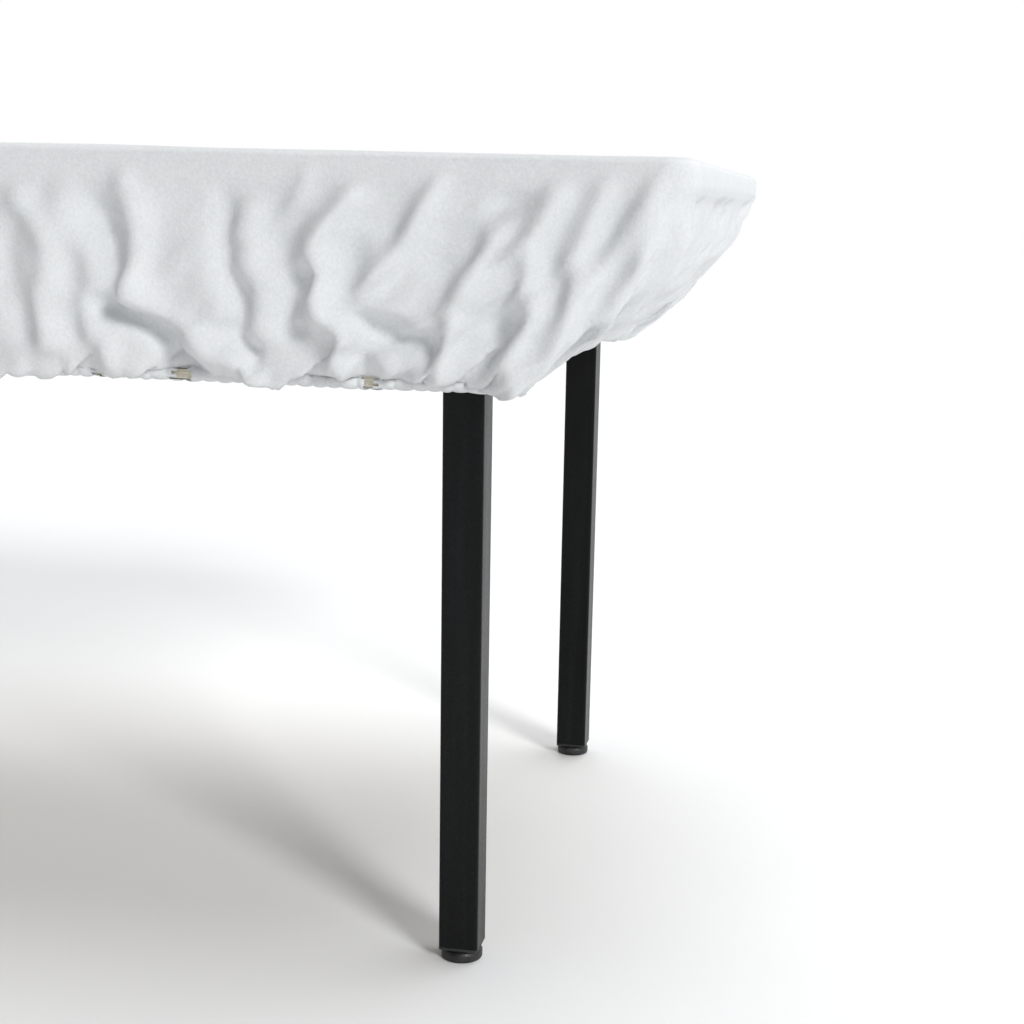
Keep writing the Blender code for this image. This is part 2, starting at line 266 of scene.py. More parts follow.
# A fold is its places along its side and above the floor, its strength, out (+) or in (-), and its width.
FRONT_FOLDS = (
    (((0.166, 0.66), (0.168, 0.585)), -0.9, 0.010),
    (((0.180, 0.70), (0.206, 0.664), (0.191, 0.614), (0.188, 0.575)), 1.4, 0.010),
    (((0.221, 0.692), (0.224, 0.680)), 1.0, 0.015),
    (((0.246, 0.695), (0.264, 0.665), (0.257, 0.634), (0.253, 0.612)), -1.6, 0.009),
    (((0.221, 0.650), (0.219, 0.585)), -0.8, 0.009),
    (((0.242, 0.648), (0.238, 0.620), (0.236, 0.595), (0.246, 0.560)), 1.1, 0.009),
    (((0.277, 0.714), (0.287, 0.685), (0.287, 0.657), (0.275, 0.630)), 1.6, 0.010),
    (((0.280, 0.625), (0.311, 0.598), (0.345, 0.573), (0.386, 0.548)), 1.5, 0.010),
    (((0.264, 0.612), (0.292, 0.590), (0.322, 0.562)), -2.3, 0.010),
    (((0.345, 0.670), (0.352, 0.610)), 0.5, 0.013),
    (((0.362, 0.708), (0.366, 0.665), (0.371, 0.616), (0.380, 0.567)), -1.7, 0.006),
    (((0.386, 0.690), (0.393, 0.590)), 0.8, 0.012),
    (((0.411, 0.692), (0.422, 0.650), (0.426, 0.598)), -1.0, 0.015),
    (((0.475, 0.707), (0.455, 0.684), (0.446, 0.654), (0.450, 0.618), (0.464, 0.586), (0.462, 0.560)),
     2.5, 0.0085),
    (((0.440, 0.738), (0.437, 0.722), (0.422, 0.699), (0.410, 0.683)), 1.1, 0.005),
    (((0.478, 0.670), (0.476, 0.630)), -0.9, 0.010),
    (((0.551, 0.720), (0.537, 0.690), (0.509, 0.657), (0.480, 0.634)), 1.9, 0.006),
    (((0.520, 0.686), (0.513, 0.668)), -0.9, 0.008),
    (((0.556, 0.681), (0.551, 0.655)), -0.9, 0.010),
    (((0.470, 0.619), (0.498, 0.617), (0.537, 0.605)), 0.9, 0.007),
    (((0.482, 0.603), (0.546, 0.588)), -1.7, 0.009),
    (((0.495, 0.575), (0.497, 0.562)), 1.0, 0.009),
    (((0.529, 0.573), (0.531, 0.560)), 1.0, 0.009),
    (((0.600, 0.684), (0.583, 0.651), (0.564, 0.622), (0.560, 0.597), (0.548, 0.564)), 1.9, 0.0075),
    (((0.618, 0.667), (0.592, 0.643), (0.572, 0.626)), 0.9, 0.006),
    (((0.556, 0.651), (0.566, 0.627)), -1.4, 0.007),
    (((0.606, 0.709), (0.602, 0.687)), -1.3, 0.007),
    (((0.623, 0.714), (0.616, 0.685)), -0.9, 0.006),
    (((0.580, 0.683), (0.573, 0.658)), -1.0, 0.008),
    (((0.649, 0.714), (0.630, 0.679), (0.628, 0.629), (0.628, 0.600), (0.609, 0.568)), 1.7, 0.009),
    (((0.604, 0.620), (0.600, 0.588)), -1.5, 0.010),
    (((0.646, 0.672), (0.650, 0.625)), -1.0, 0.009),
    (((0.690, 0.722), (0.668, 0.660), (0.658, 0.610)), 1.3, 0.009),
    (((0.705, 0.710), (0.692, 0.655)), -1.1, 0.009),
    (((0.731, 0.724), (0.715, 0.660), (0.690, 0.610)), 1.3, 0.009),
)


# How much broader the random folds of the ends are.
END_SCALE = 1.7
# The broad folds of the right end, over which its random ones lie.
END_FOLDS = (
    (((-0.350, 0.68), (-0.335, 0.65), (-0.305, 0.60)), 0.9, 0.020),
    (((-0.270, 0.69), (-0.262, 0.64), (-0.245, 0.60)), -1.5, 0.024),
    (((-0.165, 0.67), (-0.150, 0.64), (-0.150, 0.59)), 0.9, 0.026),
    (((-0.050, 0.69), (-0.040, 0.62)), -1.5, 0.028),
    (((0.190, 0.67), (0.185, 0.64), (0.180, 0.59)), 0.9, 0.026),
    (((0.290, 0.69), (0.280, 0.62)), -1.5, 0.024),
)


def random_folds(rng, low, high, scale=1.0):
    """Folds for a side that isn't planned by hand: out and in by turns, upright or leaning towards a leg."""
    folds, at, sign = [], low + 0.02, 1
    while at < high - 0.02:
        lean = rng.uniform(-0.02, 0.02) - 0.06 * (at / abs(low)) ** 3 * rng.uniform(0.3, 1)
        top, bottom = rng.uniform(0.68, 0.715) - 0.02 * (scale > 1), rng.uniform(0.565, 0.60)
        bow = rng.uniform(-0.012, 0.012)
        line = ((at, top), (at + lean / 2 + bow, (top + bottom) / 2), (at + lean, bottom))
        folds.append((line, sign * rng.uniform(0.8, 1.7), scale * rng.uniform(0.008, 0.015)))
        at += scale * rng.uniform(0.022, 0.042)
        sign = -sign
    return folds


def corner_pleats():
    """The pleats that fan out from each leg over its corner: stretch, share along it, strength, width."""
    rng, pleats = np.random.default_rng(9), []
    for seg in (1, 3, 5, 7):
        at, sign = rng.uniform(0.05, 0.12), 1
        while at < 0.97:
            pleats.append((seg, at, sign * rng.uniform(0.5, 1.1), rng.uniform(0.045, 0.07)))
            at += rng.uniform(0.10, 0.17)
            sign = -sign
    return pleats


def side_folds():
    """The folds of each side of the table."""
    rng = np.random.default_rng(7)
    return {
        FRONT: [*random_folds(rng, -0.70, 0.15), *FRONT_FOLDS],
        RIGHT_END: [*random_folds(rng, -0.37, 0.37, END_SCALE), *END_FOLDS],
        BACK: random_folds(rng, -0.70, 0.70),
        LEFT_END: random_folds(rng, -0.37, 0.37, END_SCALE),
    }


def near_line(u, z, line):
    """How far points of a side lie from a line on it."""
    best = np.full(len(u), 9.0)
    for (u0, z0), (u1, z1) in zip(line[:-1], line[1:]):
        long = (u1 - u0) ** 2 + (z1 - z0) ** 2
        t = np.clip(((u - u0) * (u1 - u0) + (z - z0) * (z1 - z0)) / long, 0, 1)
        best = np.minimum(best, np.hypot(u - u0 - t * (u1 - u0), z - z0 - t * (z1 - z0)))
    return best


def fold_offset(sheet, places, folds):
    """How far each point is to stand out (+) or in (-), in the folds of its side or pleats of its corner."""
    on_sides, pleats = folds
    stands = np.zeros(len(places))
    for side, lines in on_sides.items():
        at_end = side in (RIGHT_END, LEFT_END)
        along, across, loop = (1, 0, LOOP_X) if at_end else (0, 1, LOOP_Y)
        sign = 1 if side in (RIGHT_END, BACK) else -1
        mine = np.nonzero((places[:, across] * sign > loop - 0.02) & (sheet["share"] > 0.06))[0]
        if not at_end:
            mine = mine[np.abs(places[mine, 0]) < HALF_X]
        u, z = places[mine, along], places[mine, 2]
        for line, strength, width in lines:
            stands[mine] += strength * np.exp(-((near_line(u, z, line) / width) ** 2))
    for seg, at, strength, width in pleats:
        pleat = strength * np.exp(-(((sheet["frac"] - at) / width) ** 2))
        stands += pleat * (sheet["seg"] == seg) * smoothstep((sheet["share"] - 0.12) / 0.2)
    # Beside the board nothing falls in, so the edge band stays covered.
    below_board = smoothstep((BOARD_BOTTOM + 0.004 - places[:, 2]) / 0.022)
    return FOLD_DEPTH * np.where(stands < 0, below_board * stands, stands)


# --- The solver: points tied by links that hardly stretch but give way when pushed, in small steps. ---


def links_of(triangles):
    """The edges of the mesh, and the pairs of points that face each other across an edge."""
    ends = np.concatenate([triangles[:, [0, 1]], triangles[:, [1, 2]], triangles[:, [2, 0]]])
    facing = np.concatenate([triangles[:, 2], triangles[:, 0], triangles[:, 1]])
    ends = np.sort(ends, 1)
    order = np.lexsort((ends[:, 1], ends[:, 0]))
    ends, facing = ends[order], facing[order]
    again = (ends[1:] == ends[:-1]).all(1)
    pair = np.nonzero(again)[0]
    return ends[np.concatenate([[True], ~again])], np.stack([facing[pair], facing[pair + 1]], 1)


def separate(pairs, n):
    """The pairs in groups, with no point twice in a group, so that a group can be solved at once."""
    left, groups = np.random.default_rng(0).permutation(len(pairs)), []
    while len(left) and len(groups) < 16:
        taken, waiting, group = np.zeros(n, bool), left, []
        while len(waiting):
            rank, first = np.arange(len(waiting)), np.full(n, len(waiting))
            np.minimum.at(first, pairs[waiting, 0], rank)
            np.minimum.at(first, pairs[waiting, 1], rank)
            wins = (first[pairs[waiting, 0]] == rank) & (first[pairs[waiting, 1]] == rank)
            group.append(waiting[wins])
            taken[pairs[waiting[wins]].ravel()] = True
            waiting = waiting[~wins]
            waiting = waiting[~(taken[pairs[waiting, 0]] | taken[pairs[waiting, 1]])]
        groups.append(np.concatenate(group))
        keep = np.ones(len(pairs), bool)
        keep[groups[-1]] = False
        left = left[keep[left]]
    return groups


class Links:
    """Pairs of points that resist leaving their distance in the flat sheet, outwards and inwards apart."""

    def __init__(self, pairs, flat, free, stiffness, give):
        rest = np.linalg.norm(flat[pairs[:, 1]] - flat[pairs[:, 0]], axis=1)
        self.stiffness, self.give, self.groups = stiffness, give, []
        for group in separate(pairs, len(flat)):
            i, j = pairs[group].T
            total = free[i] + free[j]
            ok = total > 0
            i, j, total = i[ok], j[ok], total[ok]
            shares = (free[i] / total)[:, None], (free[j] / total)[:, None]
            self.groups.append((i, j, *shares, rest[group][ok]))

    def solve(self, places):
        for i, j, share_i, share_j, rest in self.groups:
            apart = places[j] - places[i]
            length = np.sqrt(np.einsum("ij,ij->i", apart, apart)) + 1e-12
            hold = np.where(length > rest, self.stiffness, self.give)
            apart *= (hold * (length - rest) / length)[:, None]
            places[i] += apart * share_i
            places[j] -= apart * share_j


def loop_gap(x, y, half_x, half_y, radius):
    """How far points lie outside a rounded rectangle, and the direction straight away from it."""
    ax, ay = np.abs(x) - (half_x - radius), np.abs(y) - (half_y - radius)
    mx, my = np.maximum(ax, 0), np.maximum(ay, 0)
    out = np.hypot(mx, my)
    at_corner = out > 1e-9
    gx = np.where(at_corner, mx / np.maximum(out, 1e-9), ax > ay) * np.sign(x)
    gy = np.where(at_corner, my / np.maximum(out, 1e-9), ax <= ay) * np.sign(y)
    return out + np.minimum(np.maximum(ax, ay), 0) - radius, gx, gy


def keep_off_table(places, free):
    """Moves points out of the tabletop and the legs."""
    gap, gx, gy = loop_gap(places[:, 0], places[:, 1], HALF_X, HALF_Y, RIM_R)
    deep = np.minimum(places[:, 2] - (BOARD_BOTTOM - SKIN), BOARD_TOP + SKIN / 2 - places[:, 2])
    hit = (gap < SKIN) & (deep > 0) & free
    side = hit & (SKIN - gap < deep)
    places[side, 0] += gx[side] * (SKIN - gap[side])
    places[side, 1] += gy[side] * (SKIN - gap[side])
    upper = hit & ~side & (places[:, 2] > (BOARD_TOP + BOARD_BOTTOM) / 2)
    lower = hit & ~side & ~upper
    places[upper, 2] = BOARD_TOP + SKIN / 2
    places[lower, 2] = BOARD_BOTTOM - SKIN
    x, y = np.abs(places[:, 0]) - LEG_X, np.abs(places[:, 1]) - LEG_Y
    gap, gx, gy = loop_gap(x, y, LEG_HALF, LEG_HALF, LEG_SKIN)
    hit = (gap < LEG_SKIN) & free
    places[hit, 0] += np.sign(places[hit, 0]) * gx[hit] * (LEG_SKIN - gap[hit])
    places[hit, 1] += np.sign(places[hit, 1]) * gy[hit] * (LEG_SKIN - gap[hit])


def close_pairs(places, flat, reach, flat_apart):
    """Pairs of points that have come close, though they are apart in the flat sheet."""
    cell = np.floor(places / reach).astype(np.int64)
    cell -= cell.min(0) - 1
    span = cell.max(0) + 3
    code = (cell[:, 0] * span[1] + cell[:, 1]) * span[2] + cell[:, 2]
    order = np.argsort(code, kind="stable")
    ranked, every, found = code[order], np.arange(len(places)), []
    near = [(0, 0, 0), (1, 0, 0), (-1, 1, 0), (0, 1, 0), (1, 1, 0)]
    near += [(a, b, 1) for a in (-1, 0, 1) for b in (-1, 0, 1)]
    for a, b, c in near:
        shift = (a * span[1] + b) * span[2] + c
        low, high = (np.searchsorted(ranked, code + shift, side) for side in ("left", "right"))
        for k in range(8):
            ok = low + k < high
            i, j = every[ok], order[(low + k)[ok]]
            keep = j > i if shift == 0 else np.ones(len(i), bool)
            found.append(np.stack([i[keep], j[keep]], 1))
    found = np.concatenate(found)
    i, j = found.T
    near_now = ((places[j] - places[i]) ** 2).sum(1) < reach**2
    far_flat = ((flat[j] - flat[i]) ** 2).sum(1) > flat_apart**2
    return found[near_now & far_flat]


def push_apart(places, pairs, reach, free):
    """Moves points that are closer than reach part of the way apart, evened out over each point's pairs."""
    i, j = pairs.T
    apart = places[j] - places[i]
    length = np.sqrt((apart**2).sum(1)) + 1e-9
    apart *= (np.maximum(reach - length, 0) * PUSH / length)[:, None]
    n = len(places)
    count = np.maximum(np.bincount(pairs.ravel(), minlength=n), 1)
    for axis in range(3):
        move = np.bincount(j, apart[:, axis], n) - np.bincount(i, apart[:, axis], n)
        places[:, axis] += PUSH_ON * move / count * free


def hold_hem(places, hem, targets):
    """Moves the hem part of the way back onto its loop, and along it to where it is gathered to."""
    here = places[hem]
    gap, gx, gy = loop_gap(here[:, 0], here[:, 1], LOOP_X - HEM_INSET, LOOP_Y - HEM_INSET, LOOP_R)
    move = HEM_PULL * (np.clip(gap, -HEM_IN, HEM_OUT) - gap)
    to_x, to_y = (targets - here[:, :2]).T
    slide = HEM_SLIDE * (to_y * gx - to_x * gy)
    places[hem, 0] += gx * move - gy * slide
    places[hem, 1] += gy * move + gx * slide
    places[hem, 2] += HEM_PULL * (np.clip(here[:, 2], HEM_Z - HEM_UP, HEM_Z + HEM_UP) - here[:, 2])


def keep_form(places, hung, outs, floor, offset, pull):
    """Draws each point towards its folds: the cloth can't leave them far, or sag far below its curve."""
    places[:, 2] = np.maximum(places[:, 2], floor)
    astray = np.einsum("ij,ij->i", places - hung, outs) - offset
    places += outs * (np.clip((1 - pull) * astray, -STRAY, STRAY) - astray)[:, None]


def settle(sheet, places, hung, outs, folds, steps, bend, pull):
    """Lets the sheet hang until it is nearly still."""
    flat, n = sheet["flat"], len(places)
    sag = SAG_END + (SAG_SIDE - SAG_END) * outs[:, 1] ** 2
    sag = np.where(sheet["share"] > 0.2, sag, SAG_AT_RIM)
    floor = hung[:, 2] - sag
    edges, facing = links_of(sheet["triangles"])
    free = (sheet["share"] > 0).astype(float)
    stretch, bending = Links(edges, flat, free, 1.0, GIVE), Links(facing, flat, free, bend, bend)
    hem = np.nonzero(sheet["share"] > 1 - 1e-9)[0]
    targets = np.concatenate([
        hem_points(seg, sheet["frac"][hem[sheet["seg"][hem] == seg]]) for seg in range(8)
    ])
    reach = min(CLOSEST, 0.75 * sheet["spacing"])
    speed, pairs, offset = np.zeros((n, 3)), None, None
    for k in range(steps):
        if k % 20 == 0:
            pairs = close_pairs(places, flat, reach * 1.3, 2.2 * sheet["spacing"])
            offset = fold_offset(sheet, places, folds)
        old = places.copy()
        speed[:, 2] -= GRAVITY * STEP
        places += speed * (STEP * free)[:, None]
        bending.solve(places)
        stretch.solve(places)
        push_apart(places, pairs, reach, free)
        hold_hem(places, hem, targets)
        keep_form(places, hung, outs, floor, offset, pull * free)
        keep_off_table(places, free > 0)
        speed = (places - old) * (KEPT_SPEED / STEP)
        speed *= np.minimum(1, TOP_SPEED / np.maximum(np.linalg.norm(speed, axis=1), 1e-9))[:, None]
    return places


def carry(coarse, places, fine):
    """The shape of a coarse sheet on a finer one, ring by ring."""
    xs, rows = [], []
    for k in range(len(coarse["shares"])):
        mine = np.nonzero(coarse["ring"] == k)[0]
        xs.append(np.append(coarse["seg"][mine] + coarse["frac"][mine], 8.0))
        rows.append(np.concatenate([places[mine], places[mine[:1]]]))
    x = fine["seg"] + fine["frac"]
    level = np.interp(fine["share"], coarse["shares"], np.arange(len(xs)))
    low = np.minimum(np.floor(level).astype(int), len(xs) - 2)
    result = np.zeros((len(x), 3))
    for k in range(len(xs) - 1):
        mine = low == k
        t = (level[mine] - k)[:, None]
        above, below = (
            np.stack([np.interp(x[mine], xs[r], rows[r][:, c]) for c in range(3)], 1) for r in (k, k + 1)
        )
        result[mine] = above * (1 - t) + below * t
    return result


def smooth(sheet, places, times):
    """Evens out the small tangles that points have been pressed into, and leaves the rim and the hem."""
    edges, _ = links_of(sheet["triangles"])
    n, (i, j) = len(places), edges.T
    around = np.bincount(edges.ravel(), minlength=n)
    free = (sheet["share"] > 0.03) & (sheet["share"] < 1 - 1e-9)
    for _ in range(times):
        for axis in range(3):
            here = places[:, axis]
            mean = (np.bincount(i, here[j], n) + np.bincount(j, here[i], n)) / around
            places[free, axis] += 0.5 * (mean - here)[free]
    return places


def simulate():
    """The hung skirt: settled on a coarse mesh, then on finer ones."""
    folds = side_folds(), corner_pleats()
    sheet = places = None
    for spacing, steps, bend, pull in PLAN[: 3]:
        finer = cut_sheet(spacing)
        start, outs = hang(finer)
        if sheet is None:
            places = start + outs * fold_offset(finer, start, folds)[:, None]
        else:
            places = carry(sheet, places, finer)
        fixed = finer["share"] <= 0
        places[fixed] = start[fixed]
        sheet = finer
        places = smooth(sheet, settle(sheet, places, start, outs, folds, steps, bend, pull), 2)
    bulge, droop = hem_gathers(sheet, places)
    places = places + outs * (bulge + crumple(sheet))[:, None] - np.outer(droop, (0, 0, 1))
    keep_off_table(places, sheet["share"] > 0)
    return sheet, places


def crumple(sheet):
    """The slight unevenness of soft cloth all over the skirt, as a sum of waves over the flat sheet."""
    rng = np.random.default_rng(3)
    total = np.zeros(len(sheet["flat"]))
    for _ in range(28):
        heading, wave = rng.uniform(0, math.pi), rng.uniform(0.020, 0.065)
        phase = rng.uniform(0, 2 * math.pi)
        along = sheet["flat"] @ (math.cos(heading), math.sin(heading))
        total += wave * np.sin(2 * math.pi * along / wave + phase)
    return CRUMPLE * total * smoothstep(sheet["share"] / 0.3)


def hem_gathers(sheet, places):
    """How far the skirt stands out and droops in the small gathers above its hem, which fade out upwards."""
    rng, share = np.random.default_rng(5), sheet["share"]
    hem = np.nonzero(sheet["ring"] == len(sheet["rings"]) - 1)[0]
    lengths = np.linalg.norm(np.diff(places[hem], axis=0, append=places[hem[:1]]), axis=1)
    walked, round_it = np.append(0, np.cumsum(lengths)), sheet["seg"] + sheet["frac"]
    here = np.interp(round_it, np.append(round_it[hem], 8), walked)
    full = puckers(here, walked[-1], rng, 0.013, 0.034)
    reach = np.interp(here, np.linspace(0, walked[-1], 160), rng.uniform(0.10, 0.34, 160))
    rise = smoothstep((share - 1 + reach) / reach)
    fall = smoothstep((share - 0.80) / 0.1) * (1 - smoothstep((share - 0.93) / 0.07))
    bulge = GATHER_DEPTH * (full - 0.45) * rise * (1 - 0.6 * smoothstep((share - 0.9) / 0.1))
    droop = GATHER_DROOP * full * fall
    drawn_up = np.zeros(len(places))
    for side, at, long in OPENINGS:
        near = (sheet["seg"] == side) * np.exp(-(((places[:, 0] - at) / (0.7 * long)) ** 2))
        drawn_up = np.maximum(drawn_up, near * smoothstep((share - 0.72) / 0.18))
    return (
        bulge * (1 - drawn_up) - OPEN_IN * drawn_up,
        droop * (1 - drawn_up) - OPEN_UP * drawn_up * fall,
    )


# --- The pieces of cloth. ---

# The casing: its cloth's thickness, how far inside the loop its middle runs, and its half width and height.
CASING_SHEET, CASING_INSET = 0.0006, 0.0032
TUBE_WIDE, TUBE_TALL = 0.0033, 0.0052
# How much wider it is outwards, how much a full pucker adds to its width and height, and how far it wavers.
TUBE_OUT, PUCKER_WIDE, PUCKER_TALL, WAVER = 0.0012, 0.0034, 0.0022, 0.0007

# How far inside the rim each ring of the top lies, how high the cloth lies there, and how high its waves are.
TOP_INSETS = (0.026, 0.038, 0.053, 0.072, 0.096, 0.126, 0.162, 0.204, 0.252, 0.306, 0.364)
TOP_Z = BOARD_TOP + 0.0013
TOP_WAVE = 0.0009


def top_height(x, y):
    """The cloth lies on the board with a few shallow waves, which never go down into it."""
    wave = np.sin(9 * x + 4 * y + 1) * np.sin(11 * y - 3 * x)
    wave += 0.6 * np.sin(23 * x - 17 * y) * np.sin(5 * x + 2)
    return TOP_Z + TOP_WAVE * np.clip(wave, 0, 1.5)


def cover_mesh(sheet, places):
    """The whole cover: the skirt, and the top ring by ring from the rim in to one flat middle."""
    points, triangles, rings, total = [places], [sheet["triangles"]], [sheet["rings"][0]], len(places)
    spacings = np.linspace(0.010, 0.034, len(TOP_INSETS))
    for inset, spacing in zip(TOP_INSETS, spacings):
        ring = []
        for seg in range(8):
            length = 2 * ((HALF_Y, HALF_X)[seg % 4 // 2] - inset) if seg in SIDES else 0
            n = max(2, round(length / spacing))
            flat, _ = rim_points(seg, np.arange(n) / n, inset)
            points.append(np.column_stack([flat, top_height(*flat.T)]))
            ring.append((total, n))
            total += n
        triangles.append(np.array(zip_rings(ring, rings[-1], len(rings))))
        rings.append(ring)
    middle = [seg_start + k for seg_start, n in rings[-1] for k in range(n)]
    points, triangles = np.concatenate(points), np.concatenate(triangles)
    mesh = bpy.data.meshes.new("cloth_cover")
    mesh.from_pydata(points.tolist(), [], [*triangles.tolist(), middle])
    mesh.validate()
    return mesh


def as_object(name, mesh, material):
    obj = bpy.data.objects.new(name, mesh)
    bpy.context.scene.collection.objects.link(obj)
    mesh.materials.append(material)
    mesh.shade_smooth()
    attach(obj, "table")
    return obj


def thicken(obj, thickness):
    """Gives a sheet its thickness, inwards."""
    solid = obj.modifiers.new("thickness", "SOLIDIFY")
    solid.thickness = thickness
    solid.offset = -1
    return obj


def make_cover(sheet, places):
    on_top = sheet["share"] < 0
    places = places.copy()
    places[on_top, 2] = top_height(*places[on_top, :2].T)
    cover = as_object("cloth_cover", cover_mesh(sheet, places), brushed_cotton())
    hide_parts("cloth_top", *(f"cloth_skirt_{side}" for side in ("front", "back", "left", "right")))
    return thicken(cover, SHEET)


def loop_walk(spacing, half_x, half_y, radius):
    """Points round a rounded rectangle, the way out at each, how far round it lies, and the whole length."""
    cx, cy, quarter = half_x - radius, half_y - radius, radius * math.pi / 2
    points, outs, walked, total = [], [], [], 0.0
    for seg in range(8):
        length = quarter if seg not in SIDES else 2 * (cy if seg in (RIGHT_END, LEFT_END) else cx)
        n = max(6, round(length / spacing))
        frac = np.arange(n) / n
        if seg in SIDES:
            a, b, out = straight(seg, cx, cy)
            out = np.tile(np.array(out, float), (n, 1))
            points.append(np.outer(1 - frac, a) + np.outer(frac, b) + radius * out)
        else:
            turn = (seg // 2 + frac) * math.pi / 2
            out = np.stack([np.cos(turn), np.sin(turn)], 1)
            points.append(np.array(CORNER_SIGNS[seg // 2]) * (cx, cy) + radius * out)
        outs.append(out)
        walked.append(total + frac * length)
        total += length
    return np.concatenate(points), np.concatenate(outs), np.concatenate(walked), total


def puckers(walked, total, rng, shortest=0.009, longest=0.017):
    """How full the cloth is along the loop: 0 where it is pinched and up to 1 inside each pucker."""
    marks = [0.0]
    while marks[-1] < total - longest:
        marks.append(marks[-1] + rng.uniform(shortest, longest))
    marks[-1] = total
    heights = rng.uniform(0.55, 1.0, len(marks))
    k = np.clip(np.searchsorted(marks, walked, "right") - 1, 0, len(marks) - 2)
    low, high = np.array(marks)[k], np.array(marks)[k + 1]
    return np.sqrt(np.sin(math.pi * (walked - low) / (high - low)).clip(0, 1)) * heights[k]


def is_open(x, y, k):
    """Whether row k of the tube has a ragged gap at this place on the loop."""
    for side, at, long in OPENINGS:
        half = long * (0.34 + 0.14 * math.sin(2 * k + 90 * at))
        on_side = y * (1 if side == BACK else -1) > 0.3
        if on_side and abs(x - at - 0.002 * math.sin(3 * k)) < half:
            return True
    return False


def make_casing():
    """The turned-up hem, a soft tube round the elastic that is bunched into small puckers."""
    rng = np.random.default_rng(11)
    points, outs, walked, total = loop_walk(
        0.0016, LOOP_X - CASING_INSET, LOOP_Y - CASING_INSET, LOOP_R - CASING_INSET
    )
    full = puckers(walked, total, rng)
    drift = np.interp(walked, np.linspace(0, total, 140), rng.uniform(-1, 1, 140))
    count, around = len(points), 14
    turns = [2 * math.pi * k / around for k in range(around)]
    rows = []
    for turn in turns:
        out, up = math.cos(turn), math.sin(turn)
        wide = TUBE_WIDE + (TUBE_OUT + PUCKER_WIDE * full) * (out > 0) * out
        tall = TUBE_TALL + PUCKER_TALL * full
        place = points + outs * (wide * out)[:, None]
        rows.append(np.column_stack([place, HEM_Z + tall * up + WAVER * drift]))
    places = np.stack(rows, 1).reshape(-1, 3)
    faces = []
    for i in range(count):
        for k in range(around):
            if math.cos(turns[k] + math.pi / around) > 0.2 and is_open(*points[i], k):
                continue
            j, m = (i + 1) % count, (k + 1) % around
            faces.append((i * around + k, j * around + k, j * around + m, i * around + m))
    mesh = bpy.data.meshes.new("hem_casing_gathered")
    mesh.from_pydata(places.tolist(), [], faces)
    mesh.validate()
    casing = as_object("hem_casing_gathered", mesh, brushed_cotton())
    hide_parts("hem_casing")
    return thicken(casing, CASING_SHEET)


# --- Materials. ---


def principled(name, color, roughness, metallic=0.0):
    material = bpy.data.materials.new(name)
    material.use_nodes = True
    shader = material.node_tree.nodes["Principled BSDF"]
    shader.inputs["Base Color"].default_value = (*color, 1)
    shader.inputs["Roughness"].default_value = roughness
    shader.inputs["Metallic"].default_value = metallic
    return material, shader


def node(material, kind, **settings):
    made = material.node_tree.nodes.new(kind)
    for key, value in settings.items():
        if key in made.inputs:
            made.inputs[key].default_value = value
        else:
            setattr(made, key, value)
    return made


def link(material, source, target):
    material.node_tree.links.new(source, target)


def noise(material, scale, detail=3.0, stretch=(1, 1, 1), roughness=0.5):
    """A noise over the piece's own coordinates, in cycles a metre."""
    place = node(material, "ShaderNodeTexCoord")
    mapping = node(material, "ShaderNodeMapping")
    mapping.inputs["Scale"].default_value = stretch
    texture = node(material, "ShaderNodeTexNoise")
    texture.inputs["Scale"].default_value = scale
    texture.inputs["Detail"].default_value = detail
    texture.inputs["Roughness"].default_value = roughness
    link(material, place.outputs["Object"], mapping.inputs["Vector"])
    link(material, mapping.outputs["Vector"], texture.inputs["Vector"])
    return texture.outputs["Fac"]


def ramp(material, value, stops):
    """A colour ramp from (place, colour) stops."""
    made = node(material, "ShaderNodeValToRGB")
    elements = made.color_ramp.elements
    elements[0].position, elements[0].color = stops[0][0], (*stops[0][1], 1)
    elements[1].position, elements[1].color = stops[-1][0], (*stops[-1][1], 1)
    for place, color in stops[1:-1]:
        elements.new(place).color = (*color, 1)
    link(material, value, made.inputs["Fac"])
    return made.outputs["Color"]


def spread(material, value, low, high, source_low=0.3, source_high=0.7):
    made = node(material, "ShaderNodeMapRange")
    limits = {"From Min": source_low, "From Max": source_high, "To Min": low, "To Max": high}
    for key, number in limits.items():
        made.inputs[key].default_value = number
    link(material, value, made.inputs["Value"])
    return made.outputs["Result"]


def total_of(material, *terms):
    """The sum of values, each with its weight."""
    result = None
    for value, weight in terms:
        part = node(material, "ShaderNodeMath", operation="MULTIPLY")
        link(material, value, part.inputs[0])
        part.inputs[1].default_value = weight
        if result is None:
            result = part.outputs[0]
            continue
        both = node(material, "ShaderNodeMath", operation="ADD")
        link(material, result, both.inputs[0])
        link(material, part.outputs[0], both.inputs[1])
        result = both.outputs[0]
    return result


def bump(material, shader, height, distance, strength=1.0):
    made = node(material, "ShaderNodeBump")
    made.inputs["Distance"].default_value = distance
    made.inputs["Strength"].default_value = strength
    link(material, height, made.inputs["Height"])
    link(material, made.outputs["Normal"], shader.inputs["Normal"])


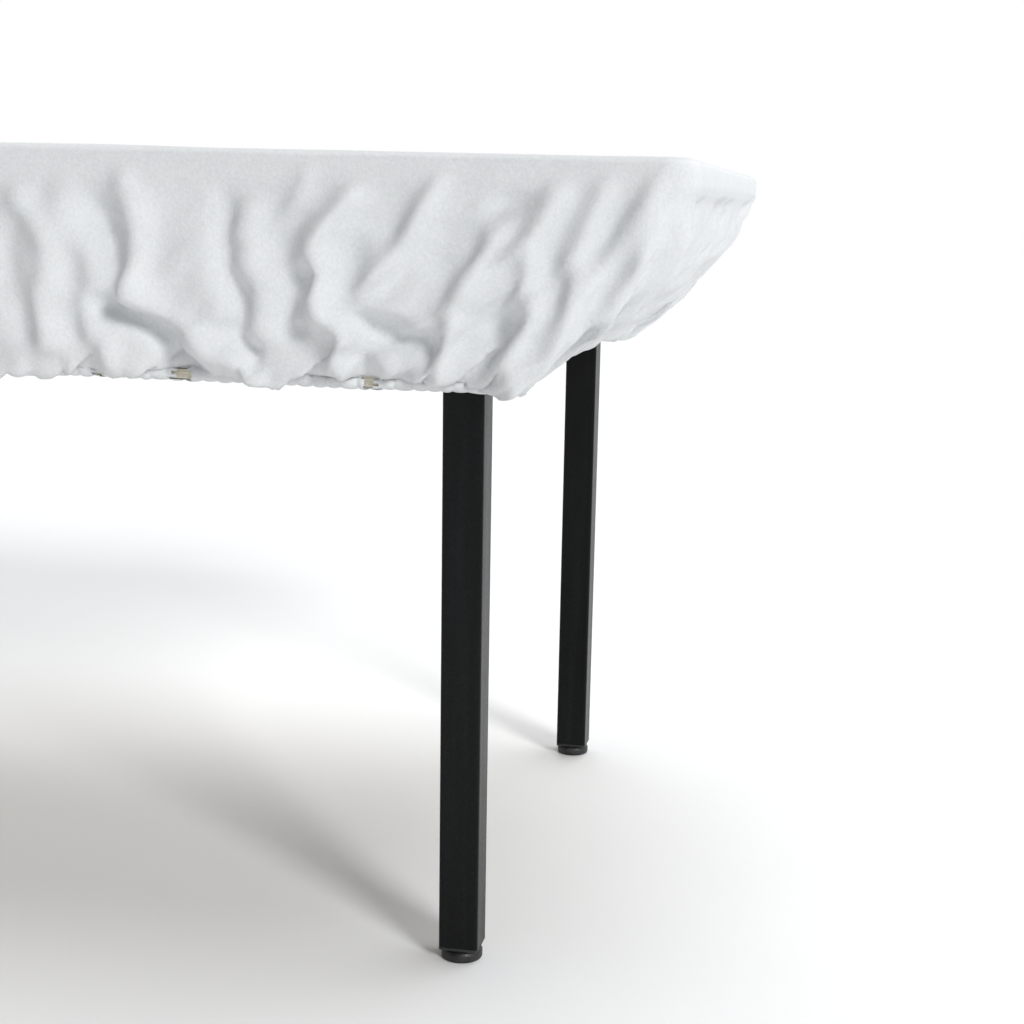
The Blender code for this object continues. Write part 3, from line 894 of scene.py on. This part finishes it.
def brushed_cotton():
    """White cotton with a raised nap: short soft fibres, slightly clumped, over a fine weave."""
    if "brushed_cotton" in bpy.data.materials:
        return bpy.data.materials["brushed_cotton"]
    material, shader = principled("brushed_cotton", (0.75, 0.765, 0.775), 0.92)
    shader.inputs["Sheen Weight"].default_value = 0.12
    shader.inputs["Sheen Roughness"].default_value = 0.55
    shader.inputs["Specular IOR Level"].default_value = 0.15
    clumps = noise(material, 340, 2)
    fibres = noise(material, 1100, 3, (1, 1, 0.55))
    patches = noise(material, 26, 2)
    shade = total_of(material, (clumps, 0.45), (fibres, 0.35), (patches, 0.2))
    color = ramp(material, shade, ((0.36, (0.675, 0.69, 0.70)), (0.62, (0.755, 0.768, 0.775))))
    link(material, color, shader.inputs["Base Color"])
    bump(material, shader, total_of(material, (clumps, 0.6), (fibres, 0.4)), 0.0012, 0.55)
    return material


def elastic():
    """Cream knitted elastic: thin cords side by side along the band, crossed by close stitches."""
    material, shader = principled("cream_elastic", (0.80, 0.74, 0.60), 0.85)
    shader.inputs["Sheen Weight"].default_value = 0.2
    cords = noise(material, 60, 1, (0.2, 0.2, 12))
    stitches = noise(material, 900, 2)
    color = ramp(material, total_of(material, (cords, 0.6), (stitches, 0.4)),
                 ((0.35, (0.56, 0.50, 0.36)), (0.6, (0.86, 0.82, 0.70))))
    link(material, color, shader.inputs["Base Color"])
    bump(material, shader, total_of(material, (cords, 0.7), (stitches, 0.3)), 0.0008, 0.8)
    return material


def powder_coat():
    """Black satin powder coat on steel: a fine orange peel, and a little dust in long streaks."""
    material, shader = principled("black_powder_coat", (0.004, 0.0045, 0.005), 0.36)
    shader.inputs["Specular IOR Level"].default_value = 0.16
    peel = noise(material, 1500, 2)
    streaks = noise(material, 90, 3, (1, 1, 0.05))
    specks = noise(material, 420, 4)
    dust = total_of(material, (streaks, 0.5), (specks, 0.5))
    color = ramp(material, dust, ((0.45, (0.002, 0.0023, 0.0026)), (0.72, (0.008, 0.009, 0.010))))
    link(material, color, shader.inputs["Base Color"])
    link(material, spread(material, dust, 0.28, 0.42), shader.inputs["Roughness"])
    bump(material, shader, peel, 0.0002, 0.35)
    return material


def moulded_plastic():
    material, shader = principled("black_plastic", (0.012, 0.012, 0.013), 0.45)
    grain = noise(material, 1400, 3)
    scuffs = noise(material, 160, 4)
    link(material, ramp(material, scuffs, ((0.4, (0.009, 0.009, 0.010)), (0.75, (0.035, 0.035, 0.036)))),
         shader.inputs["Base Color"])
    link(material, spread(material, scuffs, 0.36, 0.62), shader.inputs["Roughness"])
    bump(material, shader, grain, 0.0003, 0.5)
    return material


def zinc_plate():
    material, shader = principled("zinc_plate", (0.60, 0.61, 0.63), 0.32, 1.0)
    cloud = noise(material, 260, 4)
    link(material, ramp(material, cloud, ((0.35, (0.50, 0.51, 0.52)), (0.65, (0.68, 0.69, 0.70)))),
         shader.inputs["Base Color"])
    link(material, spread(material, cloud, 0.26, 0.46), shader.inputs["Roughness"])
    bump(material, shader, noise(material, 2200, 2), 0.0001, 0.4)
    return material


def particle_board():
    """Pressed chips, in a few browns."""
    material, shader = principled("particle_board", (0.52, 0.40, 0.26), 0.85)
    place, chips = node(material, "ShaderNodeTexCoord"), node(material, "ShaderNodeTexVoronoi")
    chips.inputs["Scale"].default_value = 330
    link(material, place.outputs["Object"], chips.inputs["Vector"])
    shade = node(material, "ShaderNodeSeparateColor")
    link(material, chips.outputs["Color"], shade.inputs["Color"])
    color = ramp(material, shade.outputs["Red"],
                 ((0.1, (0.30, 0.20, 0.11)), (0.5, (0.50, 0.37, 0.23)), (0.9, (0.68, 0.54, 0.36))))
    link(material, color, shader.inputs["Base Color"])
    bump(material, shader, chips.outputs["Distance"], 0.0006, 0.6)
    return material


def edge_banding():
    material, shader = principled("black_edge_band", (0.035, 0.035, 0.036), 0.5)
    pores = noise(material, 1300, 2)
    link(material, spread(material, pores, 0.44, 0.60), shader.inputs["Roughness"])
    link(material, ramp(material, pores, ((0.35, (0.028, 0.028, 0.029)), (0.7, (0.046, 0.046, 0.047)))),
         shader.inputs["Base Color"])
    bump(material, shader, pores, 0.0002, 0.4)
    return material


def dress_frame():
    """Gives each CAD node that still shows the material of its slot."""
    looks = {"elastic": elastic(), "steel_black": powder_coat(), "plastic_black": moulded_plastic(),
             "zinc": zinc_plate(), "board": particle_board(), "edge_band": edge_banding()}
    for part in frame["record"]["subparts"]:
        if part["material_slot"] in looks:
            for slot in frame["nodes"][part["node"]].material_slots:
                slot.material = looks[part["material_slot"]]


# --- Camera, floor and light. ---


def make_camera():
    """In front of the right end, a little lower than the top, looking slightly down and tilted a little."""
    yaw, pitch, roll = math.radians(9.605), math.radians(13.888), math.radians(1.5)
    ahead = Vector((-math.sin(yaw) * math.cos(pitch), math.cos(yaw) * math.cos(pitch), -math.sin(pitch)))
    level = Vector((math.cos(yaw), math.sin(yaw), 0))
    upright = level.cross(ahead)
    right = math.cos(roll) * level + math.sin(roll) * upright
    up = math.cos(roll) * upright - math.sin(roll) * level
    lens = bpy.data.cameras.new("camera")
    lens.lens, lens.sensor_width, lens.clip_start = 58.01, 36, 0.05
    lens.shift_x, lens.shift_y = -0.0537, 0.0977
    camera = bpy.data.objects.new("camera", lens)
    turn = Matrix((right, up, -ahead)).transposed().to_4x4()
    camera.matrix_world = Matrix.Translation((0.8995, -1.7471, 0.7071)) @ turn
    bpy.context.scene.collection.objects.link(camera)
    bpy.context.scene.camera = camera


def make_floor():
    bpy.ops.mesh.primitive_plane_add(size=60)
    floor = bpy.context.object
    floor.name = "floor"
    material, shader = principled("pale_floor", (0.93, 0.93, 0.93), 0.9)
    shader.inputs["Specular IOR Level"].default_value = 0.1
    cloud = noise(material, 3, 2)
    link(material, ramp(material, cloud, ((0.3, (0.925, 0.925, 0.925)), (0.7, (0.94, 0.94, 0.94)))),
         shader.inputs["Base Color"])
    floor.data.materials.append(material)


def soft_sun(name, toward, strength, angle):
    """A wide, far light that shines from the direction toward."""
    light = bpy.data.lights.new(name, "SUN")
    light.energy, light.angle = strength, math.radians(angle)
    obj = bpy.data.objects.new(name, light)
    obj.rotation_euler = Vector(toward).to_track_quat("Z", "Y").to_euler()
    bpy.context.scene.collection.objects.link(obj)


# The direction the studio is brightest in, and how bright it is facing away from that and facing it.
BRIGHT_SIDE = (0.38, 0.90, 0.22)
AMBIENT = (0.15, 0.88)


def make_world():
    """The studio round the table: bright behind it, dimmer in front, and plain white where it is seen."""
    world = bpy.data.worlds.new("studio")
    bpy.context.scene.world = world
    world.use_nodes = True
    links, nodes = world.node_tree.links, world.node_tree.nodes
    ambient, seen = nodes["Background"], nodes.new("ShaderNodeBackground")
    ambient.inputs["Color"].default_value = (0.95, 0.98, 1.0, 1)
    seen.inputs["Color"].default_value = (1, 1, 1, 1)
    place, facing = nodes.new("ShaderNodeTexCoord"), nodes.new("ShaderNodeVectorMath")
    facing.operation = "DOT_PRODUCT"
    facing.inputs[1].default_value = BRIGHT_SIDE
    links.new(place.outputs["Generated"], facing.inputs[0])
    glow = nodes.new("ShaderNodeMapRange")
    glow.interpolation_type = "SMOOTHSTEP"
    for key, number in zip(("From Min", "From Max", "To Min", "To Max"), (-0.1, 0.9, *AMBIENT)):
        glow.inputs[key].default_value = number
    links.new(facing.outputs["Value"], glow.inputs["Value"])
    links.new(glow.outputs["Result"], ambient.inputs["Strength"])
    path, mix = nodes.new("ShaderNodeLightPath"), nodes.new("ShaderNodeMixShader")
    links.new(path.outputs["Is Camera Ray"], mix.inputs["Fac"])
    links.new(ambient.outputs["Background"], mix.inputs[1])
    links.new(seen.outputs["Background"], mix.inputs[2])
    links.new(mix.outputs["Shader"], nodes["World Output"].inputs["Surface"])


def make_light():
    """A bright studio, with a softer light from above and a more directed one from the front right."""
    make_world()
    soft_sun("overhead", (0.1, 0.2, 1), 1.45, 50)
    soft_sun("window", (0.60, -0.60, 0.44), 1.85, 15)
    bpy.context.scene.view_settings.view_transform = "Standard"


make_camera()
make_floor()
make_light()
dress_frame()
sheet, places = simulate()
cover = make_cover(sheet, places)
casing = make_casing()
